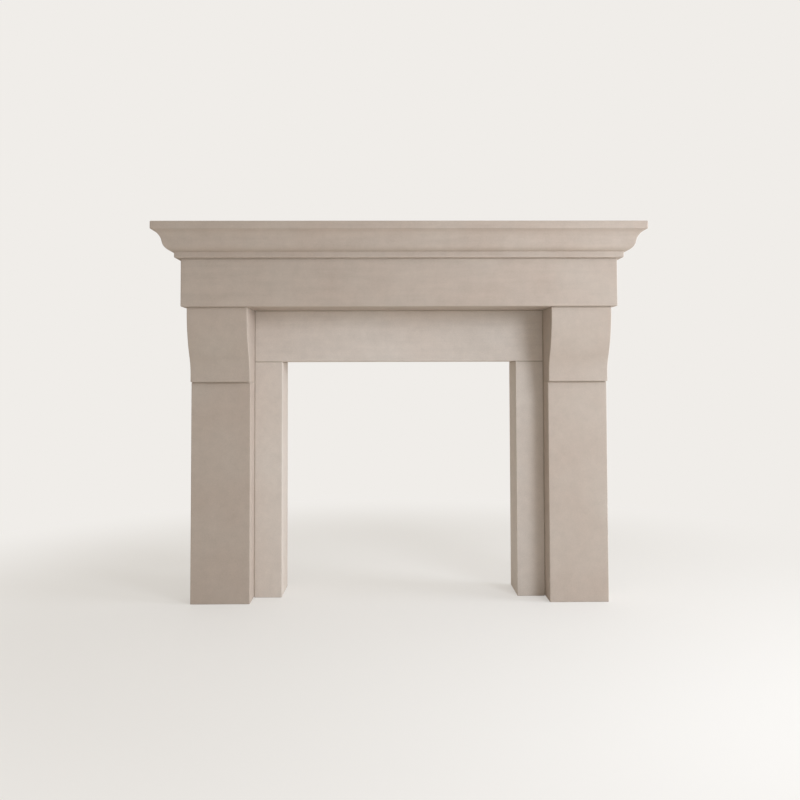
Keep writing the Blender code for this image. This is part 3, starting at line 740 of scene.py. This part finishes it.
def corner_normal(corner, flats):
    """The normal at one corner of a face that is no flat."""
    own = corner.face.normal
    near = [face for face in corner.vert.link_faces if face.normal.angle(own, pi) < SHARP]
    beside = [face for face in near if face in flats]
    if beside:
        return max(beside, key=lambda face: face.normal.dot(own)).normal.copy()
    return sum((face.normal * face.calc_area() for face in near), Vector()).normalized()


def shade(piece):
    shape = bmesh.new()
    shape.from_mesh(piece.data)
    areas = {}
    for face in shape.faces:
        plane = plane_of(face)
        areas[plane] = areas.get(plane, 0.0) + face.calc_area()
    flats = {face for face in shape.faces if areas[plane_of(face)] > FLAT_AREA}
    normals = []
    for face in shape.faces:
        for corner in face.loops:
            normals.append(face.normal.copy() if face in flats else corner_normal(corner, flats))
    piece.data.shade_smooth()
    piece.data.normals_split_custom_set(normals)
    shape.free()
    return len(normals)


print(sum(shade(casting) for casting in castings.values()), "corners have their normals")

# %% [markdown]
# Each finished casting takes its number and its tint as attributes, rides on the body, and
# stands in for its node of the frame.

# %% Castings in place
ROUND_THE_OPENING = ("inner_lintel", "inner_slip_left", "inner_slip_right")


def mark(piece, name, value):
    """Gives every point of a piece the same number, for its material to read."""
    points = len(piece.data.vertices)
    piece.data.attributes.new(name, "FLOAT", "POINT").data.foreach_set("value", [value] * points)


for number, (node, casting) in enumerate(castings.items(), start=1):
    mark(casting, CASTING_NUMBER, float(number))
    # The lintel and the two slips round the opening get the paler tint
    mark(casting, CASTING_TINT, 1.0 if node in ROUND_THE_OPENING else 0.0)
    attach(casting, "root")
    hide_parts(node)
print(len(castings), "castings finished")

# %% [markdown]
# ## Pointed joints
# Each bed of mortar lies 3 mm behind the faces. A mason then presses a little more in, up
# over the eased edges of the stones, and draws a rounded tool along it, which leaves a
# slightly hollow, ragged face. It follows the edges that the mason can reach, so a tree
# sweeps a small section along them and pushes each point in or out by noise. A bevel on
# the bed could not be ragged, and a painted line would have no depth.

# %% The joint tree
RAGS_PER_METRE = 60.0


def joint_tree(sizes):
    tree, dial, way_out = new_tree("pointed joint", sizes)
    edge = add_node(tree, "GeometryNodeMeshToCurve", {"Mesh": dial["Geometry"]}).outputs[0]
    path = add_node(tree, "GeometryNodeResampleCurve", {"Curve": edge, "Length": dial["Step"]},
                    mode="LENGTH").outputs[0]
    along = add_node(tree, "GeometryNodeInputTangent").outputs[0]
    outwards = add_node(tree, "ShaderNodeVectorMath", {0: along, 1: dial["Across"]},
                        operation="CROSS_PRODUCT").outputs[0]
    grain = add_node(tree, "ShaderNodeTexNoise", {
        "Scale": RAGS_PER_METRE, "Detail": 3.0, "Roughness": 0.7}).outputs["Fac"]
    push = add_node(tree, "ShaderNodeMath", {0: grain, 1: 0.5}, operation="SUBTRACT").outputs[0]
    amount = add_node(tree, "ShaderNodeMath", {0: push, 1: dial["Raggedness"]},
                      operation="MULTIPLY").outputs[0]
    offset = add_node(tree, "ShaderNodeVectorMath", {0: outwards, "Scale": amount}, operation="SCALE")
    facing = add_node(tree, "GeometryNodeSetCurveNormal", {"Curve": path, "Normal": outwards}, mode="FREE")
    ragged = add_node(tree, "GeometryNodeSetPosition", {0: facing.outputs[0], "Offset": offset.outputs[0]})
    drawn = add_node(tree, "GeometryNodeObjectInfo", {"Object": dial["Section"]}).outputs["Geometry"]
    section = add_node(tree, "GeometryNodeMeshToCurve", {"Mesh": drawn})
    pointing = add_node(tree, "GeometryNodeCurveToMesh", {
        "Curve": ragged.outputs[0], "Profile Curve": section.outputs[0], "Fill Caps": True})
    bed = add_node(tree, "GeometryNodeObjectInfo", {"Object": dial["Bed"]}).outputs["Geometry"]
    both = add_node(tree, "GeometryNodeJoinGeometry", {"Geometry": [pointing.outputs[0], bed]})
    close_tree(tree, both.outputs[0], dial["Mortar"], way_out)
    return tree


# Each joint takes these, with a direction, a section and a bed of its own
any_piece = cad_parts["mortar_frieze"]
joint_sizes = {"Step": 6 * mm, "Raggedness": 1.2 * mm, "Across": (0.0, 0.0, 1.0),
               "Section": any_piece, "Bed": any_piece, "Mortar": MORTAR}
pointing = joint_tree(joint_sizes)
print("The joint tree has", len(joint_sizes), "dials")

# %% [markdown]
# The section that is swept is a ring of a few points: a root in the bed, a neck, a shoulder
# and a slightly hollow face. The pointing spreads over an eased edge, and stays narrow
# beside a flat face, so the two sides of the section are set apart.

# %% The section
ROOT = 1.0 * mm  # how far into the bed, from the line that the mason follows
NECK = 0.4 * mm  # how far out of it, as for the next two
SHOULDER = 1.5 * mm
FACE = 2.6 * mm
HOLLOW = 0.3 * mm
NARROW = 0.88 * mm  # half a width, as for the next one
SPREAD = 2.2 * mm
ROOT_SHARE = 0.7  # of the narrow half width
SHOULDER_SHARE = 0.25  # of the way from the narrow half width to the spread one
ACROSS = (-1, -0.5, 0, 0.5, 1)  # places on the hollow face, from one side to the other


def flank(spread):
    """One side of the section, from root to shoulder: it keeps clear of the stone's eased edge."""
    shoulder = NARROW + SHOULDER_SHARE * (spread - NARROW)
    return [(-ROOT, ROOT_SHARE * NARROW), (NECK, NARROW), (SHOULDER, shoulder)]


def joint_section(one_side, other_side):
    """The pointing's section, from its root in the bed at -X to its hollow face at +X."""
    middle, half = (one_side - other_side) / 2, (one_side + other_side) / 2
    face = [(FACE - HOLLOW * (1 - share * share), middle + share * half) for share in ACROSS]
    outline = [(x, -y) for x, y in flank(other_side)] + face + flank(one_side)[::-1]
    section = bpy.data.meshes.new("section")
    section.from_pydata([(x, y, 0.0) for x, y in outline],
                        [(index, (index + 1) % len(outline)) for index in range(len(outline))], [])
    return new_piece("section", section)


print("The section has", 2 * len(flank(SPREAD)) + len(ACROSS), "points")

# %% [markdown]
# The mason's reach differs from bed to bed. Under the shelf and at the legs and corbels it
# is the front and both sides. Over the lintel it is the front alone, and at the head of a
# slip the front and the cheek. The two upright strips are reached from the front. Every
# path is a few corners read from the box of its bed, and runs from left to right, or
# downwards, so that its outer side is known. It stops a millimetre or two before a stone or
# the floor. Where the inner frame stands beside a bed, it runs on a millimetre behind that
# face, so that its end is hidden.

# %% Paths
STOP_SHORT = 1.0 * mm
BEHIND_SLIP = 1.0 * mm
SLIP_FRONT_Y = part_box("inner_slip_left")[0].y


def reachable_edge(node):
    """The line that a bed's pointing follows, and the direction across the joint."""
    low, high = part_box(node)
    middle = (low + high) / 2
    side = 1 if middle.x > 0 else -1
    inner, outer = sorted((side * low.x, side * high.x))
    if node.startswith("mortar_side"):
        ends = (high.z - 2 * STOP_SHORT, low.z + STOP_SHORT)
        return [(middle.x, low.y, height) for height in ends], (1.0, 0.0, 0.0)
    if node == "mortar_lintel":
        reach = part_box("leg_right")[0].x - STOP_SHORT
        plan = [(-reach, low.y), (reach, low.y)]
    elif node.startswith("mortar_slip"):
        plan = [(side * inner, high.y), (side * inner, low.y), (side * (outer - STOP_SHORT), low.y)]
    elif node == "mortar_frieze":
        plan = [(low.x, high.y), (low.x, low.y), (high.x, low.y), (high.x, high.y)]
    else:
        plan = [(side * inner, SLIP_FRONT_Y + BEHIND_SLIP), (side * inner, low.y),
                (side * outer, low.y), (side * outer, high.y)]
    if plan[0][0] > plan[-1][0]:
        plan.reverse()
    return [(x, y, middle.z) for x, y in plan], (0.0, 0.0, 1.0)


print("The pointing of the shelf's bed has", len(reachable_edge("mortar_frieze")[0]), "corners")

# %% [markdown]
# Each joint is its path, with the tree run on it. The tree also takes the bed in, so that
# the bed and its pointing are one piece, which stands in for the bed of the frame.

# %% Every joint pointed
# How far the pointing spreads: above and below a bed, or right and left of an upright strip
SPREADS = {"mortar_leg": (SPREAD, SPREAD), "mortar_slip": (SPREAD, SPREAD), "mortar_corbel": (NARROW, SPREAD),
           "mortar_lintel": (NARROW, SPREAD), "mortar_frieze": (NARROW, SPREAD),
           "mortar_side_left": (SPREAD, NARROW), "mortar_side_right": (NARROW, SPREAD)}


def pointed_joint(node):
    points, across = reachable_edge(node)
    path = bpy.data.meshes.new("pointed_" + node)
    path.from_pydata(points, [(index, index + 1) for index in range(len(points) - 1)], [])
    joint = new_piece("pointed_" + node, path)
    bed = new_piece("bed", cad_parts[node].data.copy())
    above, below = next(spread for start, spread in SPREADS.items() if node.startswith(start))
    section = joint_section(below, above)
    run_tree(joint, pointing, {**joint_sizes, "Across": across, "Bed": bed, "Section": section})
    remove(bed)
    remove(section)
    joint.data.shade_smooth()
    joint.data.set_sharp_from_angle(angle=SHARP)
    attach(joint, "root")
    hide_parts(node)
    return joint


joints = [pointed_joint(node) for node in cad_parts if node.startswith("mortar_")]
print(len(joints), "joints with", sum(len(joint.data.polygons) for joint in joints), "faces")

# %% [markdown]
# ## Ties, screws and pins
# These small steel pieces are exact in the frame and need no new shape. They only take the
# mill finish, in each of their material slots.

# %% Steel on the fixings
fixings = [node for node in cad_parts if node.startswith(("tie_", "screw_", "pin_"))]
for node in fixings:
    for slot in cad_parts[node].material_slots:
        slot.material = STEEL
print(len(fixings), "steel pieces")

# %% [markdown]
# ## The floor
# A plain pale board stands for the floor, and is marked as stage because it isn't part of
# the object. Near the object it keeps the object's shadow. Farther out it takes on the
# colour of the background, so that no horizon shows. A ground with a pattern would draw the
# eye off the stone.

# %% Floor
BACKGROUND = "#F0EDE9"
FLOOR = "#EDEBE7"
FLOOR_REACH = 30.0  # metres
FLOOR_LIFT = 0.45  # the share of the background's colour at the object
FLOOR_FADE = (1.2, 2.6)  # metres, from where that share grows to where it is whole


def camera_or_mirror(tree):
    """1 for what the camera, a reflection or clear glass sees, and 0 for light on its way."""
    rays = add_node(tree, "ShaderNodeLightPath").outputs
    seen = add_node(tree, "ShaderNodeMath", {0: rays["Is Camera Ray"], 1: rays["Is Glossy Ray"]},
                    operation="MAXIMUM").outputs[0]
    return add_node(tree, "ShaderNodeMath", {0: seen, 1: rays["Is Transmission Ray"]},
                    operation="MAXIMUM").outputs[0]


def pale_floor():
    material, tree, board, place = new_material("painted_board")
    feed(tree, board, {"Base Color": linear(FLOOR), "Roughness": 0.7, "Specular IOR Level": 0.2})
    away = add_node(tree, "ShaderNodeVectorMath", {0: place}, operation="LENGTH").outputs["Value"]
    lift = add_node(tree, "ShaderNodeMapRange", {
        "Value": away, "From Min": FLOOR_FADE[0], "From Max": FLOOR_FADE[1],
        "To Min": FLOOR_LIFT, "To Max": 1.0}, interpolation_type="SMOOTHSTEP").outputs[0]
    share = add_node(tree, "ShaderNodeMath", {0: lift, 1: camera_or_mirror(tree)},
                     operation="MULTIPLY").outputs[0]
    glow = add_node(tree, "ShaderNodeEmission", {"Color": linear(BACKGROUND), "Strength": 1.0})
    both = add_node(tree, "ShaderNodeMixShader", {0: share, 1: board.outputs[0], 2: glow.outputs[0]})
    feed(tree, tree.nodes["Material Output"], {"Surface": both.outputs[0]})
    return material


corners = [(x * FLOOR_REACH, y * FLOOR_REACH, 0.0) for x, y in ((-1, -1), (1, -1), (1, 1), (-1, 1))]
board = bpy.data.meshes.new("floor")
board.from_pydata(corners, [], [(0, 1, 2, 3)])
board.materials.append(pale_floor())
floor = new_piece("floor", board)
floor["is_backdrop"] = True
print("The floor reaches", FLOOR_REACH, "m to each side")

# %% [markdown]
# ## The sky
# Light comes to the stone from all round, soft and slightly warm. The world gives it, and is
# stronger from above and from the right. A pale room built round the object would do the
# same with far more to compute. The pale background is a colour that only the camera and
# reflections see, so it adds no light.

# %% Sky
SKY_COLOUR = "#FFF9F0"
SKY_LEVEL = 0.34
SKY_SLOPE = (0.16, 0.10, 0.45)  # how much more comes from the right, the wall's side and above
SKY_LEAST = 0.08

world = bpy.data.worlds.new("studio")
world.use_nodes = True
bpy.context.scene.world = world
sky = world.node_tree
sky.nodes.clear()
direction = add_node(sky, "ShaderNodeTexCoord").outputs["Generated"]
slope = add_node(sky, "ShaderNodeVectorMath", {0: direction, 1: SKY_SLOPE},
                 operation="DOT_PRODUCT").outputs["Value"]
level = add_node(sky, "ShaderNodeMath", {0: slope, 1: SKY_LEVEL}, operation="ADD").outputs[0]
strength = add_node(sky, "ShaderNodeMath", {0: level, 1: SKY_LEAST}, operation="MAXIMUM").outputs[0]
light = add_node(sky, "ShaderNodeBackground", {"Color": linear(SKY_COLOUR), "Strength": strength})
backdrop = add_node(sky, "ShaderNodeBackground", {"Color": linear(BACKGROUND), "Strength": 1.0})
choice = add_node(sky, "ShaderNodeMixShader", {
    0: camera_or_mirror(sky), 1: light.outputs[0], 2: backdrop.outputs[0]})
add_node(sky, "ShaderNodeOutputWorld", {"Surface": choice.outputs[0]})
print("Soft light of level", SKY_LEVEL)

# %% [markdown]
# ## The windows
# Two square lamps stand for windows on the right. A near one in front lights the face, and
# its light falls off towards the left. The light of a large one, far out to the side, lies
# on the inner cheeks. Their places and sizes were changed until the shadows fell much as in
# the photograph, which a ready-made picture of a room would not allow.

# %% Windows
WINDOW_COLOUR = "#EBF3FF"
LAMP_AIM = Vector((0.0, 0.0, 0.9))
# Places and sizes in metres, power in watts
LAMPS = {"front_window": {"place": (1.6, -2.1, 1.55), "size": 0.8, "power": 29.0},
         "side_window": {"place": (5.0, -1.1, 1.4), "size": 2.2, "power": 185.0}}

for name, window in LAMPS.items():
    lamp = bpy.data.lights.new(name, "AREA")
    lamp.shape = "SQUARE"
    lamp.size = window["size"]
    lamp.energy = window["power"]
    lamp.color = linear(WINDOW_COLOUR)[:3]
    lit = bpy.data.objects.new(name, lamp)
    lit.location = window["place"]
    lit.rotation_euler = (LAMP_AIM - lit.location).to_track_quat("-Z", "Y").to_euler()
    bpy.context.scene.collection.objects.link(lit)
# Standard shows a colour as it was set, without a film curve over it
bpy.context.scene.view_settings.view_transform = "Standard"
print(len(LAMPS), "lamps stand for windows")

# %% [markdown]
# ## The camera
# The camera stands 3.14 m in front of the legs and 0.86 m above the floor. Its distance was
# taken as about 3.15 m. Its place, its small turns and its lens were then found by matching
# the edges of the part to their places in the photograph. The lens's own middle lies above
# the middle of the picture, as if more had been cropped off the top, so the lens is also
# shifted a little.

# %% Camera
FRAME_PIXELS = 800
FOCAL_PIXELS = 825.2
CENTRE_ROW_SHIFT = -55.4  # pixels
SENSOR = 36.0  # millimetres
CAMERA_X = -40.9 * mm
CAMERA_HEIGHT = 862.7 * mm
CAMERA_DISTANCE = 3144.3 * mm
YAW, PITCH, ROLL = -0.01359, 0.03604, 0.00285  # radians

lens = bpy.data.cameras.new("camera")
lens.sensor_width = SENSOR
lens.lens = FOCAL_PIXELS / FRAME_PIXELS * SENSOR
lens.shift_y = CENTRE_ROW_SHIFT / FRAME_PIXELS
camera = bpy.data.objects.new("camera", lens)
turn = Matrix.Rotation(YAW, 4, "Z") @ Matrix.Rotation(PITCH, 4, "X") @ Matrix.Rotation(ROLL, 4, "Y")
place = Matrix.Translation((CAMERA_X, LEG_FRONT_Y - CAMERA_DISTANCE, CAMERA_HEIGHT))
camera.matrix_world = place @ turn @ Matrix.Rotation(radians(90), 4, "X")
bpy.context.scene.collection.objects.link(camera)
bpy.context.scene.camera = camera
print(f"The lens is {lens.lens:.2f} mm long")

# %% [markdown]
# ## Sizes
# The dressed part should fill the same box as the engineer's model, so how far it stands out
# past that box is printed for each axis.

# %% Sizes and finish
low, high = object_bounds()
for axis in range(3):
    grown_mm = (max(high[axis] - cad_high[axis], cad_low[axis] - low[axis])) / mm
    print("XYZ"[axis], f"stands out {grown_mm:.3f} mm past the frame")
